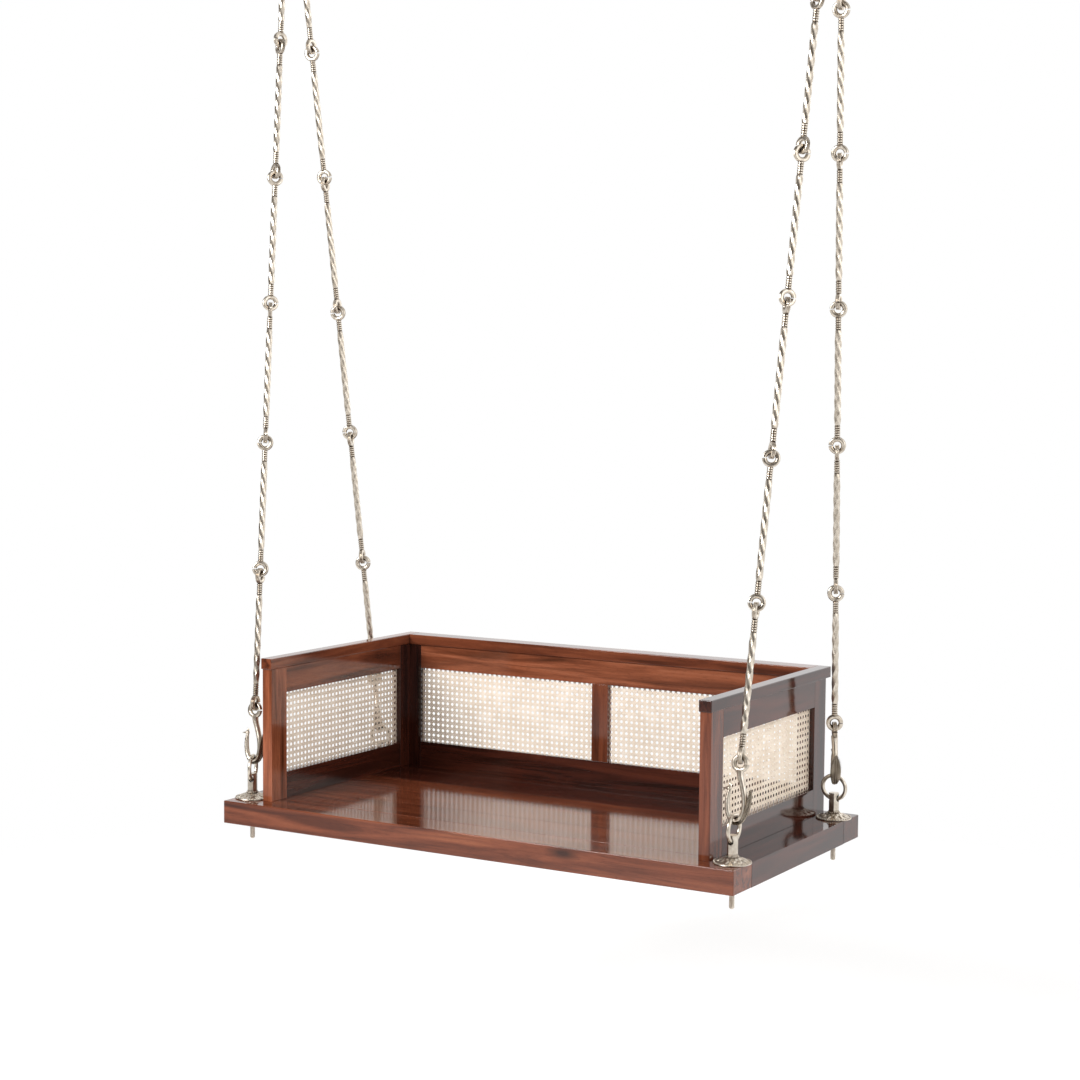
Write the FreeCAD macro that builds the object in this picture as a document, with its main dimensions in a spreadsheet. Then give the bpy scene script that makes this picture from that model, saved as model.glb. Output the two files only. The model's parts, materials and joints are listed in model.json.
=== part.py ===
# A hanging porch swing: a thick hardwood seat with a three-sided cane gallery, held at its four
# corners by link chains that run up in pairs to two ceiling brackets.
# Millimetres. +X runs along the seat, +Y to its back, +Z up. The origin is on the ceiling, midway
# between the two brackets.
import FreeCAD, Part
import Sketcher
import math
import os
import re
from FreeCAD import Placement, Rotation, Vector

doc = FreeCAD.newDocument("porch_swing")

# ---------------------------------------------------------------- driving dimensions
sizes = (
    ("hang_height", 2130, "ceiling down to the seat's top face"),
    ("seat_length", 1200, "seat, end to end"),
    ("seat_depth", 600, "seat, front to back"),
    ("seat_thick", 48, "seat rails"),
    ("seat_rail", 80, "width of the seat's four rails"),
    ("plank_thick", 22, "planks between the rails"),
    ("plank_gap", 0.4, "joint between two planks"),
    ("batten_width", 50, "battens under the planks"),
    ("end_inset", 71, "seat's end to the outer face of a side panel"),
    ("front_inset", 44, "seat's front edge to the front posts"),
    ("back_inset", 18, "seat's back edge to the back panel's rear face"),
    ("gallery_height", 283, "seat to the underside of the cap"),
    ("panel_thick", 24, "side panels"),
    ("back_thick", 18, "back panel"),
    ("front_post", 52, "side panel's front post, along Y"),
    ("back_post", 56, "side panel's back post, along Y"),
    ("back_stile", 31, "back panel's end stiles"),
    ("middle_stile", 40, "back panel's middle stile"),
    ("top_rail", 54, "height of the panels' top rails"),
    ("bottom_rail", 57, "height of the panels' bottom rails"),
    ("cap_thick", 23, "cap rail"),
    ("cap_side", 1.5, "cap past each face of a side panel"),
    ("cap_front", 4, "cap past the front posts"),
    ("cap_back", 22, "cap past the back panel"),
    ("back_cap_depth", 46, "cap over the back panel, front to back"),
    ("soft_edge", 1.6, "rounding of seat and cap edges"),
    ("panel_edge", 0.5, "rounding of panel edges"),
    ("cane_thick", 2.4, "woven cane sheet"),
    ("cane_seat", 7, "how far the cane reaches into its groove"),
    ("cane_room", 0.3, "room round the cane in its groove"),
    ("dowel_radius", 4, "dowels in the frame joints"),
    ("dowel_length", 36, "dowels in the frame joints"),
    ("screw_radius", 3, "screws up through the seat into the posts"),
    ("screw_head", 6, "their heads"),
    ("screw_grip", 45, "length in the post"),
    ("bolt_end", 31, "eye bolts, from the seat's ends"),
    ("bolt_side", 59, "eye bolts, from the seat's front and back edges"),
    ("stud_radius", 5, "threaded stud through the seat"),
    ("stud_room", 0.5, "room round the stud in its hole"),
    ("stud_drop", 40, "stud below the seat"),
    ("stud_tip", 2.5, "length of its chamfered tip"),
    ("stud_tip_radius", 3, "end of that tip"),
    ("flange_radius", 37, "lotus flange"),
    ("flange_height", 12, "lotus flange"),
    ("flange_rim", 3, "height of its edge"),
    ("flange_shoulder_radius", 26.64, "where its dome steepens"),
    ("flange_shoulder", 8.4, "height there"),
    ("collar_radius", 11, "collar over the flange"),
    ("collar_height", 4, "collar over the flange"),
    ("eye_flats", 19, "eight-sided post, across its flats"),
    ("eye_height", 41, "eight-sided post, with the collar"),
    ("eye_room", 1.5, "room round the ring's bar in the hole across the post"),
    ("eye_level", 40, "that hole's axis above the seat"),
    ("eye_slack", 4.5, "the hole's upward stretch, for the ring's curve"),
    ("nut_flats", 17, "nuts under the seat"),
    ("nut_height", 8, "nuts under the seat"),
    ("washer_radius", 13, "washers under the seat"),
    ("washer_thick", 2, "washers under the seat"),
    ("ring_radius", 25, "seat rings, to the bar's middle"),
    ("ring_bar", 4, "radius of their bar"),
    ("hook_bar", 5, "radius of the hooks' bar"),
    ("hook_bend", 16, "radius of the hooks' bend, to the bar's middle"),
    ("hook_length", 98, "middle of the ring's bar to the middle of the hook's eye"),
    ("hook_arm", 50, "height of the hook's open arm"),
    ("hook_shank", 30, "straight height of its shank"),
    ("hook_head", 7.5, "radius of the head on the arm"),
    ("hook_room", 0.3, "room between a hook and the bar it holds"),
    ("link_eye", 12.3, "eyes of links and hooks, to the bar's middle"),
    ("link_bar", 4.5, "radius of their bar"),
    ("link_room", 0.3, "room between two linked eyes"),
    ("rod_width", 11, "square rod between a link's eyes"),
    ("neck_radius", 5, "neck between eye and rod"),
    ("neck_length", 24, "neck between eye and rod"),
    ("bracket_spacing", 1294, "from one ceiling bracket to the other"),
    ("plate_length", 120, "ceiling plate, along Y"),
    ("plate_width", 60, "ceiling plate, along X"),
    ("plate_thick", 6, "ceiling plate"),
    ("plate_hole", 5.5, "radius of the plate's two bolt holes"),
    ("plate_hole_spacing", 84, "between those holes"),
    ("cheek_thick", 6, "bracket's two cheeks"),
    ("cheek_width", 40, "bracket's two cheeks"),
    ("cheek_room", 3, "room between the top ring's bar and each cheek"),
    ("pin_drop", 58, "ceiling to the pin's axis"),
    ("pin_radius", 6, "pin that the top ring hangs on"),
    ("pin_room", 0.05, "room round the pin in the cheeks"),
    ("pin_head", 10, "radius of the pin's head and of its nut's corners"),
    ("pin_head_thick", 6, "head and nut"),
    ("pin_tail", 3, "pin past its nut"),
    ("top_ring_radius", 36, "top rings, to the bar's middle"),
    ("top_ring_bar", 5, "radius of their bar"),
    ("top_hook_y", 11, "each top hook, from the middle of the ring"),
)
links_per_chain = 6
planks = 4
post_sides = 8
nut_sides = 6

sheet = doc.addObject("Spreadsheet::Sheet", "Sizes")
for line, (name, value, note) in enumerate(sizes, 1):
    sheet.set(f"A{line}", note)
    sheet.set(f"B{line}", str(value))
    sheet.setAlias(f"B{line}", name)
doc.recompute()
names = {name for name, value, note in sizes}


# ---------------------------------------------------------------- helpers
def bound(text):
    # names of sizes in an expression, written as cells of the sheet
    return re.sub(r"[a-z_]+", lambda m: "Sizes." + m[0] if m[0] in names else m[0], str(text))


def value(text):
    return float(sheet.evalExpression(bound(text)))


def bind(piece, **properties):
    for name, text in properties.items():
        piece.setExpression(name.replace("_", "."), bound(text))


def block(label, low, high):
    # a box from one corner to the other
    piece = doc.addObject("Part::Box", label)
    bind(piece, Placement_Base_x=low[0], Placement_Base_y=low[1], Placement_Base_z=low[2])
    for side, a, b in zip(("Length", "Width", "Height"), low, high):
        bind(piece, **{side: f"({b}) - ({a})"})
    return piece


def rod(label, radius, length, base, axis=Vector(0, 0, 1)):
    piece = doc.addObject("Part::Cylinder", label)
    piece.Placement = Placement(Vector(), Rotation(Vector(0, 0, 1), axis))
    bind(piece, Radius=radius, Height=length,
         Placement_Base_x=base[0], Placement_Base_y=base[1], Placement_Base_z=base[2])
    return piece


def join(label, pieces):
    piece = doc.addObject("Part::MultiFuse", label)
    piece.Shapes = pieces
    return piece


def cut(label, base, tool):
    piece = doc.addObject("Part::Cut", label)
    piece.Base, piece.Tool = base, tool
    return piece


def soften(base, radius):
    doc.recompute()
    piece = doc.addObject("Part::Fillet", base.Name + "_soft")
    piece.Base = base
    piece.Edges = [(n, value(radius), value(radius)) for n in range(1, len(base.Shape.Edges) + 1)]
    return piece


def group(label, shapes):
    # several identical pieces as one sub-part
    piece = doc.addObject("Part::Feature", label)
    piece.Shape = Part.makeCompound(shapes)
    return piece


def placed(shape, base, turn):
    copy = shape.copy()
    copy.Placement = Placement(base, turn)
    return copy


def on_plane(feature, body, role):
    # attaches a sketch or primitive to one of the body's own origin planes
    plane = next(p for p in body.Origin.OriginFeatures if p.Role == role)
    feature.AttachmentSupport, feature.MapMode = [(plane, "")], "FlatFace"
    return feature


def drawing(body, label, role):
    return on_plane(body.newObject("Sketcher::SketchObject", label), body, role)


kept = []


def keep(piece, label):
    piece.Label = label
    kept.append(piece)
    return piece


# ---------------------------------------------------------------- levels and faces
seat_top = "-hang_height"
seat_bottom = "-hang_height - seat_thick"
rail_top = "-hang_height + gallery_height"
outer_x = "(seat_length / 2 - end_inset)"
inner_x = f"({outer_x} - panel_thick)"
front_face = "(-seat_depth / 2 + front_inset)"
rear_face = "(seat_depth / 2 - back_inset)"
back_face = f"({rear_face} - back_thick)"
back_y = f"({rear_face} - back_thick / 2)"
panel_x = f"({outer_x} - panel_thick / 2)"
opening_low = "-hang_height + bottom_rail"
opening_high = "-hang_height + gallery_height - top_rail"
plank_low = "-hang_height - plank_thick"
bolt_x = "(seat_length / 2 - bolt_end)"
bolt_y = "(seat_depth / 2 - bolt_side)"
eye_hole = "(ring_bar + eye_room)"
cheek_gap = "(2 * top_ring_bar + 2 * cheek_room)"
sides = {"left": -1, "right": 1}


def along_x(side, near, far):
    # a stretch of X on one side of the middle, lower end first
    return (f"-({far})", f"-({near})") if side == "left" else (f"{near}", f"{far}")


# ---------------------------------------------------------------- hollows shared by the wood
def sheet_box(label, low, high, thin, room):
    # the cane's own box, or with room round it the groove that it sits in
    low, high = list(low), list(high)
    for axis in range(3):
        grow = room if axis == thin else f"cane_seat + {room}"
        low[axis] = f"{low[axis]} - ({grow})"
        high[axis] = f"{high[axis]} + ({grow})"
    return block(label, low, high)


cane_spans = {}
for side in sides:
    x = along_x(side, f"{panel_x} - cane_thick / 2", f"{panel_x} + cane_thick / 2")
    cane_spans[f"{side}_cane"] = (
        (x[0], f"{front_face} + front_post", opening_low),
        (x[1], f"{rear_face} - back_post", opening_high), 0)
    x = along_x(side, "middle_stile / 2", f"{inner_x} - back_stile")
    cane_spans[f"back_{side}_cane"] = (
        (x[0], f"{back_y} - cane_thick / 2", opening_low),
        (x[1], f"{back_y} + cane_thick / 2", opening_high), 1)

hollows = [sheet_box(f"{name}_groove", low, high, thin, "cane_room")
           for name, (low, high, thin) in cane_spans.items()]

# dowels where rails meet posts, and screws from under the seat into the posts
dowels, screws = [], []
rail_levels = (f"{seat_top} + bottom_rail / 2", f"{rail_top} - top_rail / 2")
for side, sign in sides.items():
    for y in (f"{front_face} + front_post", f"{rear_face} - back_post"):
        for level in rail_levels:
            dowels.append(rod(f"{side}_dowel", "dowel_radius", "dowel_length",
                              (f"{sign} * {panel_x}", f"{y} - dowel_length / 2", level), Vector(0, 1, 0)))
    for level in rail_levels:
        dowels.append(rod("back_dowel", "dowel_radius", "dowel_length",
                          (f"{sign} * ({inner_x} - back_stile) - dowel_length / 2", back_y, level),
                          Vector(1, 0, 0)))
    for y in (f"{front_face} + front_post / 2", f"{rear_face} - back_post / 2"):
        screws.append((f"{sign} * {panel_x}", y))
    screws.append((f"{sign} * {outer_x} / 2", back_y))
for level in (f"{opening_low} - dowel_length / 2", f"{opening_high} - dowel_length / 2"):
    dowels.append(rod("middle_dowel", "dowel_radius", "dowel_length", (0, back_y, level)))

screw_bodies = []
for x, y in screws:
    shank = rod("screw_shank", "screw_radius", "seat_thick + screw_grip", (x, y, seat_bottom))
    head = rod("screw_head", "screw_head", "screw_head / 2", (x, y, seat_bottom))
    screw_bodies.append(join("screw", [shank, head]))

corners = {"front_left": (-1, -1), "front_right": (1, -1), "back_left": (-1, 1), "back_right": (1, 1)}
for corner, (sx, sy) in corners.items():
    hollows.append(rod(f"{corner}_bolt_hole", "stud_radius + stud_room", "seat_thick",
                       (f"{sx} * {bolt_x}", f"{sy} * {bolt_y}", seat_bottom)))

hollow = doc.addObject("Part::Compound", "hollow")
hollow.Links = hollows + dowels + screw_bodies


def wood(label, low, high, edge="panel_edge"):
    return keep(cut(label, soften(block(f"{label}_stock", low, high), edge), hollow), label)


# ---------------------------------------------------------------- seat
half_length, half_depth = "seat_length / 2", "seat_depth / 2"
wood("seat_front_rail", (f"-{half_length}", f"-{half_depth}", seat_bottom),
     (half_length, f"-{half_depth} + seat_rail", seat_top), "soft_edge")
wood("seat_back_rail", (f"-{half_length}", f"{half_depth} - seat_rail", seat_bottom),
     (half_length, half_depth, seat_top), "soft_edge")
for side in sides:
    x = along_x(side, f"{half_length} - seat_rail", half_length)
    wood(f"seat_{side}_rail", (x[0], f"-{half_depth} + seat_rail", seat_bottom),
         (x[1], f"{half_depth} - seat_rail", seat_top), "panel_edge")
plank_pitch = f"(seat_depth - 2 * seat_rail) / {planks}"
for number in range(planks):
    start = f"-{half_depth} + seat_rail + {number} * {plank_pitch}"
    wood(f"seat_plank_{number + 1}", (f"-{half_length} + seat_rail", f"{start} + plank_gap / 2", plank_low),
         (f"{half_length} - seat_rail", f"{start} + {plank_pitch} - plank_gap / 2", seat_top))
battens = [block("batten", (f"{place} - batten_width / 2", f"-{half_depth} + seat_rail", seat_bottom),
                 (f"{place} + batten_width / 2", f"{half_depth} - seat_rail", plank_low))
           for place in (f"-({half_length} - seat_rail - batten_width / 2)", "0",
                         f"({half_length} - seat_rail - batten_width / 2)")]

# ---------------------------------------------------------------- side panels
for side in sides:
    x = along_x(side, inner_x, outer_x)
    wood(f"{side}_front_post", (x[0], front_face, seat_top),
         (x[1], f"{front_face} + front_post", rail_top))
    wood(f"{side}_back_post", (x[0], f"{rear_face} - back_post", seat_top),
         (x[1], rear_face, rail_top))
    for name, low, high in (("bottom_rail", seat_top, opening_low), ("top_rail", opening_high, rail_top)):
        wood(f"{side}_{name}", (x[0], f"{front_face} + front_post", low),
             (x[1], f"{rear_face} - back_post", high))
    x = along_x(side, f"{inner_x} - cap_side", f"{outer_x} + cap_side")
    wood(f"{side}_cap", (x[0], f"{front_face} - cap_front", rail_top),
         (x[1], f"{rear_face} + cap_back", f"{rail_top} + cap_thick"), "soft_edge")

# ---------------------------------------------------------------- back panel
for side in sides:
    x = along_x(side, f"{inner_x} - back_stile", inner_x)
    wood(f"back_{side}_stile", (x[0], back_face, seat_top), (x[1], rear_face, rail_top))
for name, low, high in (("bottom_rail", seat_top, opening_low), ("top_rail", opening_high, rail_top)):
    wood(f"back_{name}", (f"-({inner_x} - back_stile)", back_face, low),
         (f"{inner_x} - back_stile", rear_face, high))
wood("back_middle_stile", ("-middle_stile / 2", back_face, opening_low),
     ("middle_stile / 2", rear_face, opening_high))
wood("back_cap", (f"-({inner_x} - cap_side)", f"{rear_face} + cap_back - back_cap_depth", rail_top),
     (f"{inner_x} - cap_side", f"{rear_face} + cap_back", f"{rail_top} + cap_thick"), "soft_edge")

# ---------------------------------------------------------------- cane sheets
for name, (low, high, thin) in cane_spans.items():
    keep(sheet_box(name, low, high, thin, 0), name)

# ---------------------------------------------------------------- eye bolts, flanges, nuts
back_hook_turn = -60  # degrees about the chain, from the seat's length; the front hooks lie along it
# each post is turned about its stud, so that its hole faces the ring: degrees from +Y
bolt_turn = {"front_left": 21, "front_right": 0, "back_left": 90, "back_right": 90}


def eye_bolt(corner):
    # threaded stud, collar and eight-sided post with a hole across it, on its own axis
    tip = doc.addObject("Part::Cone", f"{corner}_tip")
    bind(tip, Radius1="stud_tip_radius", Radius2="stud_radius", Height="stud_tip",
         Placement_Base_z="-seat_thick - stud_drop")
    stud = rod(f"{corner}_stud", "stud_radius", "seat_thick + stud_drop + flange_height - stud_tip",
               (0, 0, "-seat_thick - stud_drop + stud_tip"))
    collar = rod(f"{corner}_collar", "collar_radius", "collar_height", (0, 0, "flange_height"))
    post = doc.addObject("Part::Prism", f"{corner}_post")
    post.Polygon = post_sides
    bind(post, Circumradius=f"eye_flats / 2 / cos(180 / {post_sides})", Height="eye_height",
         Placement_Base_z="flange_height")
    post.Placement.Rotation = Rotation(Vector(0, 0, 1), 180 / post_sides)
    solid = join(f"{corner}_bolt_stock", [tip, stud, collar, post])
    low = rod(f"{corner}_hole", eye_hole, "2 * collar_radius", (0, "-collar_radius", "eye_level"),
              Vector(0, 1, 0))
    high = rod(f"{corner}_hole_top", eye_hole, "2 * collar_radius",
               (0, "-collar_radius", "eye_level + eye_slack"), Vector(0, 1, 0))
    slot = block(f"{corner}_hole_middle", (f"-{eye_hole}", "-collar_radius", "eye_level"),
                 (eye_hole, "collar_radius", "eye_level + eye_slack"))
    return cut(f"eye_bolt_{corner}", solid, join(f"{corner}_slot", [low, high, slot]))


def seat_place(corner):
    sx, sy = corners[corner]
    return Vector(sx * value(bolt_x), sy * value(bolt_y), value(seat_top))


for corner in corners:
    bolt = keep(eye_bolt(corner), f"eye_bolt_{corner}")
    bolt.Placement = Placement(seat_place(corner), Rotation(Vector(0, 0, 1), bolt_turn[corner]))

# flange: a low dome turned about the stud
flange = doc.addObject("PartDesign::Body", "flange")
profile = drawing(flange, "flange_profile", "XZ_Plane")
outline = (("stud_radius", "0"), ("flange_radius", "0"), ("flange_radius", "flange_rim"),
           ("flange_shoulder_radius", "flange_shoulder"), ("collar_radius", "flange_height"),
           ("stud_radius", "flange_height"))
points = [Vector(value(a), value(b), 0) for a, b in outline]
for start, end in zip(points, points[1:] + points[:1]):
    profile.addGeometry(Part.LineSegment(start, end))
for edge, (a, b) in enumerate(outline):
    profile.addConstraint(Sketcher.Constraint("Coincident", edge, 1, (edge - 1) % len(outline), 2))
    across = profile.addConstraint(Sketcher.Constraint("DistanceX", -1, 1, edge, 1, value(a)))
    profile.setExpression(f"Constraints[{across}]", bound(a))
    if b == "0":
        profile.addConstraint(Sketcher.Constraint("PointOnObject", edge, 1, -1))
    else:
        up = profile.addConstraint(Sketcher.Constraint("DistanceY", -1, 1, edge, 1, value(b)))
        profile.setExpression(f"Constraints[{up}]", bound(b))
dome = flange.newObject("PartDesign::Revolution", "dome")
dome.Profile, dome.ReferenceAxis, dome.Angle = profile, (profile, ["V_Axis"]), 360
doc.recompute()
keep(group("lotus_flanges", [placed(flange.Shape, seat_place(corner), Rotation()) for corner in corners]),
     "lotus_flanges")

# washers and nuts under the seat
washer = cut("washer", rod("washer_disc", "washer_radius", "washer_thick", (0, 0, "-washer_thick")),
             rod("washer_hole", "stud_radius", "washer_thick", (0, 0, "-washer_thick")))
nut_disc = doc.addObject("Part::Prism", "nut_disc")
nut_disc.Polygon = nut_sides
bind(nut_disc, Circumradius=f"nut_flats / 2 / cos(180 / {nut_sides})", Height="nut_height",
     Placement_Base_z="-washer_thick - nut_height")
nut = cut("nut", nut_disc, rod("nut_hole", "stud_radius", "nut_height",
                               (0, 0, "-washer_thick - nut_height")))
doc.recompute()
under = Vector(0, 0, -value("seat_thick"))
for name, piece in (("eye_bolt_washers", washer), ("eye_bolt_nuts", nut)):
    copies = [placed(piece.Shape, seat_place(corner) + under, Rotation()) for corner in corners]
    keep(group(name, copies), name)

# screws, dowels and battens: identical pieces, one sub-part for each kind
keep(group("post_screws", [screw.Shape for screw in screw_bodies]), "post_screws")
keep(group("frame_dowels", [dowel.Shape for dowel in dowels]), "frame_dowels")
keep(group("seat_battens", [batten.Shape.cut(hollow.Shape) for batten in battens]), "seat_battens")

# ---------------------------------------------------------------- the four chain lines
# The top ring hangs on its pin. Two hooks hang on the ring, side by side at its lowest part, and
# each chain runs straight from its hook down to the hole of its eye bolt.
top_ring_drop = value("top_ring_radius - top_ring_bar - hook_room - pin_radius")
top_ring_level = -value("pin_drop") - top_ring_drop
hook_y = value("top_hook_y")
eye_step = value("2 * (link_eye - link_bar) - link_room")


class Line:
    # one chain: its foot in the bolt's hole, its head on the top ring, and places along it
    def __init__(self, corner):
        sx, sy = corners[corner]
        self.foot = seat_place(corner) + Vector(0, 0, value("eye_level"))
        sag = math.sqrt(value("top_ring_radius") ** 2 - hook_y ** 2)
        self.head = Vector(sx * value("bracket_spacing") / 2, sy * hook_y, top_ring_level - sag)
        self.length = (self.head - self.foot).Length
        self.up = (self.head - self.foot).normalize()
        self.hook_turn = back_hook_turn if sy > 0 else 0
        joints = links_per_chain + 1
        # each piece is turned by about 90 degrees from the last, and the top hook comes out square
        half_turns = math.floor((self.hook_turn + 90 * joints) / 180 + 0.5)
        self.step = (180 * half_turns - self.hook_turn) / joints
        ends = value("2 * ring_radius + 2 * hook_length") + joints * eye_step
        self.link_length = (self.length - ends) / links_per_chain

    def place(self, along, turn=0, flipped=False):
        # a piece drawn upright on its own origin, moved to a point of the chain and turned about it
        up = self.up * -1 if flipped else self.up
        upright = Rotation(Vector(1, 0, 0), Vector(), up, "ZXY")
        return Placement(self.foot + self.up * along, upright * Rotation(Vector(0, 0, 1), turn))


lines = {corner: Line(corner) for corner in corners}


def hook(label, held_bar):
    # a rod bent in one plane: open arm, round bend under the held bar, shank, and an eye on top
    body = doc.addObject("PartDesign::Body", label)
    bend, bar, arm = value("hook_bend"), value("hook_bar"), value("hook_arm")
    middle = bend - bar - value(held_bar) - value("hook_room")
    shank, eye_low = value("hook_shank"), value("hook_length - link_eye")
    rise = (eye_low - shank) / 2
    radius = (bend ** 2 / 4 + rise ** 2) / bend
    sweep = math.asin(rise / radius)
    path = drawing(body, f"{label}_path", "XZ_Plane")
    out = Vector(0, 0, 1)
    path.addGeometry(Part.LineSegment(Vector(-bend, arm, 0), Vector(-bend, middle, 0)))
    path.addGeometry(Part.ArcOfCircle(Part.Circle(Vector(0, middle, 0), out, bend), math.pi, 2 * math.pi))
    path.addGeometry(Part.LineSegment(Vector(bend, middle, 0), Vector(bend, shank, 0)))
    path.addGeometry(Part.ArcOfCircle(Part.Circle(Vector(bend - radius, shank, 0), out, radius), 0, sweep))
    path.addGeometry(Part.ArcOfCircle(Part.Circle(Vector(radius, eye_low, 0), out, radius),
                                      math.pi, math.pi + sweep))
    section = drawing(body, f"{label}_section", "XY_Plane")
    section.setExpression("AttachmentOffset.Base.z", bound("hook_arm"))
    circle = section.addGeometry(Part.Circle(Vector(-bend, 0, 0), out, bar))
    size = section.addConstraint(Sketcher.Constraint("Radius", circle, bar))
    section.setExpression(f"Constraints[{size}]", bound("hook_bar"))
    doc.recompute()
    bent = body.newObject("PartDesign::AdditivePipe", f"{label}_rod")
    bent.Profile, bent.Spine = section, path
    doc.recompute()
    eye = on_plane(body.newObject("PartDesign::AdditiveTorus", f"{label}_eye"), body, "XZ_Plane")
    bind(eye, Radius1="link_eye", Radius2="link_bar")
    eye.setExpression("AttachmentOffset.Base.y", bound("hook_length"))
    head = on_plane(body.newObject("PartDesign::AdditiveSphere", f"{label}_head"), body, "XZ_Plane")
    bind(head, Radius="hook_head")
    head.setExpression("AttachmentOffset.Base.x", bound("-hook_bend"))
    head.setExpression("AttachmentOffset.Base.y", bound("hook_arm"))
    doc.recompute()
    return body


# rings and hooks at the seat, and the hooks on the top rings
on_edge = Rotation(Vector(0, 1, 0), 90)
for corner, line in lines.items():
    ring = doc.addObject("Part::Torus", f"seat_ring_{corner}")
    bind(ring, Radius1="ring_radius", Radius2="ring_bar")
    spot = line.place(value("ring_radius"), bolt_turn[corner])
    ring.Placement = Placement(spot.Base, spot.Rotation * on_edge)
    keep(ring, f"seat_ring_{corner}")
    low = keep(hook(f"seat_hook_{corner}", "ring_bar"), f"seat_hook_{corner}")
    low.Placement = line.place(value("2 * ring_radius"), line.hook_turn)

top_hook = hook("top_hook", "top_ring_bar")
for side in sides:
    spots = [line.place(line.length, 0, flipped=True) for corner, line in lines.items() if side in corner]
    keep(group(f"top_hooks_{side}", [placed(top_hook.Shape, spot.Base, spot.Rotation) for spot in spots]),
         f"top_hooks_{side}")


def link(line):
    # an eye at each end in one plane, a neck beside each, and a square rod between them
    length = line.link_length
    pieces = []
    for level, turn in ((0, 0), (length, 180)):
        eye = doc.addObject("Part::Torus", "link_eye")
        bind(eye, Radius1="link_eye", Radius2="link_bar")
        eye.Placement = Placement(Vector(0, 0, level), Rotation(Vector(1, 0, 0), 90))
        neck = doc.addObject("Part::Cylinder", "link_neck")
        bind(neck, Radius="neck_radius", Height="neck_length + link_bar")
        side = Rotation(Vector(1, 0, 0), turn)
        neck.Placement = Placement(Vector(0, 0, level) + side.multVec(Vector(0, 0, value("link_eye"))), side)
        pieces += [eye, neck]
    start = value("link_eye + link_bar + neck_length")
    bar = block("link_rod", ("-rod_width / 2", "-rod_width / 2", start),
                ("rod_width / 2", "rod_width / 2", length - start))
    return join("link", pieces + [bar])


for corner, line in lines.items():
    pattern = link(line)
    doc.recompute()
    first = value("2 * ring_radius + hook_length") + eye_step
    spots = [line.place(first + number * (line.link_length + eye_step),
                        line.hook_turn + (number + 1) * line.step) for number in range(links_per_chain)]
    keep(group(f"chain_links_{corner}", [placed(pattern.Shape, spot.Base, spot.Rotation) for spot in spots]),
         f"chain_links_{corner}")

# ---------------------------------------------------------------- top rings, pins and ceiling brackets
half_gap = f"{cheek_gap} / 2"
pin_nuts = []
for side, sign in sides.items():
    x = f"{sign} * bracket_spacing / 2"
    ring = doc.addObject("Part::Torus", f"top_ring_{side}")
    bind(ring, Radius1="top_ring_radius", Radius2="top_ring_bar", Placement_Base_x=x)
    ring.Placement = Placement(Vector(0, 0, top_ring_level), on_edge)
    keep(ring, f"top_ring_{side}")

    plate = block("plate", (f"{x} - plate_width / 2", "-plate_length / 2", "-plate_thick"),
                  (f"{x} + plate_width / 2", "plate_length / 2", "0"))
    solids, holes = [plate], []
    for end in (-1, 1):
        inner = f"{x} + {end} * {half_gap}"
        low, high = sorted((0, end))
        spread = (f"{inner} + {low} * cheek_thick", f"{inner} + {high} * cheek_thick")
        solids.append(block("cheek", (spread[0], "-cheek_width / 2", "-pin_drop"),
                            (spread[1], "cheek_width / 2", "-plate_thick")))
        solids.append(rod("cheek_end", "cheek_width / 2", "cheek_thick", (spread[0], 0, "-pin_drop"),
                          Vector(1, 0, 0)))
        holes.append(rod("plate_bolt_hole", "plate_hole", "plate_thick",
                         (x, f"{end} * plate_hole_spacing / 2", "-plate_thick")))
    holes.append(rod("pin_hole", "pin_radius + pin_room", "plate_width",
                     (f"{x} - plate_width / 2", 0, "-pin_drop"), Vector(1, 0, 0)))
    bracket = cut(f"ceiling_bracket_{side}", join("bracket_stock", solids), join("bracket_holes", holes))
    keep(bracket, f"ceiling_bracket_{side}")

    shoulder = f"{x} - {half_gap} - cheek_thick"
    tail = f"{cheek_gap} + 2 * cheek_thick + pin_head_thick + pin_tail"
    pin = join(f"ceiling_pin_{side}", [
        rod("pin_shank", "pin_radius", tail, (shoulder, 0, "-pin_drop"), Vector(1, 0, 0)),
        rod("pin_cap", "pin_head", "pin_head_thick", (f"{shoulder} - pin_head_thick", 0, "-pin_drop"),
            Vector(1, 0, 0))])
    keep(pin, f"ceiling_pin_{side}")
    hexagon = doc.addObject("Part::Prism", "pin_nut")
    hexagon.Polygon = nut_sides
    hexagon.Placement = Placement(Vector(), Rotation(Vector(0, 1, 0), 90))
    bind(hexagon, Circumradius="pin_head", Height="pin_head_thick", Placement_Base_z="-pin_drop",
         Placement_Base_x=f"{x} + {half_gap} + cheek_thick")
    pin_nuts.append(cut("nut", hexagon, rod("nut_bore", "pin_radius", "pin_head_thick",
                                            (f"{x} + {half_gap} + cheek_thick", 0, "-pin_drop"),
                                            Vector(1, 0, 0))))
doc.recompute()
keep(group("ceiling_pin_nuts", [nut.Shape for nut in pin_nuts]), "ceiling_pin_nuts")

# ---------------------------------------------------------------- checks and export
doc.recompute()
for piece in doc.Objects:
    if "Invalid" in piece.State or "Error" in piece.State:
        raise RuntimeError(f"{piece.Label} did not compute: {piece.State}")
for piece in kept:
    if piece.Shape.isNull() or not piece.Shape.isValid() or not piece.Shape.Solids:
        raise RuntimeError(f"{piece.Label} has no valid solid")
os.makedirs("parts", exist_ok=True)
for piece in kept:
    piece.Shape.exportStep(f"parts/{piece.Label}.step")
print(len(kept), "sub-parts,", sum(len(piece.Shape.Solids) for piece in kept), "solids")
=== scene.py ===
# Looks of a hanging porch swing: lacquered sheesham, woven cane and nickel-plated chains around its frame.
# The scene is in metres. Metalwork and cane are drawn in millimetres, and one matrix puts each in place.
import bmesh
import bpy
import json
import math
import random
from mathutils import Matrix, Vector


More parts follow.
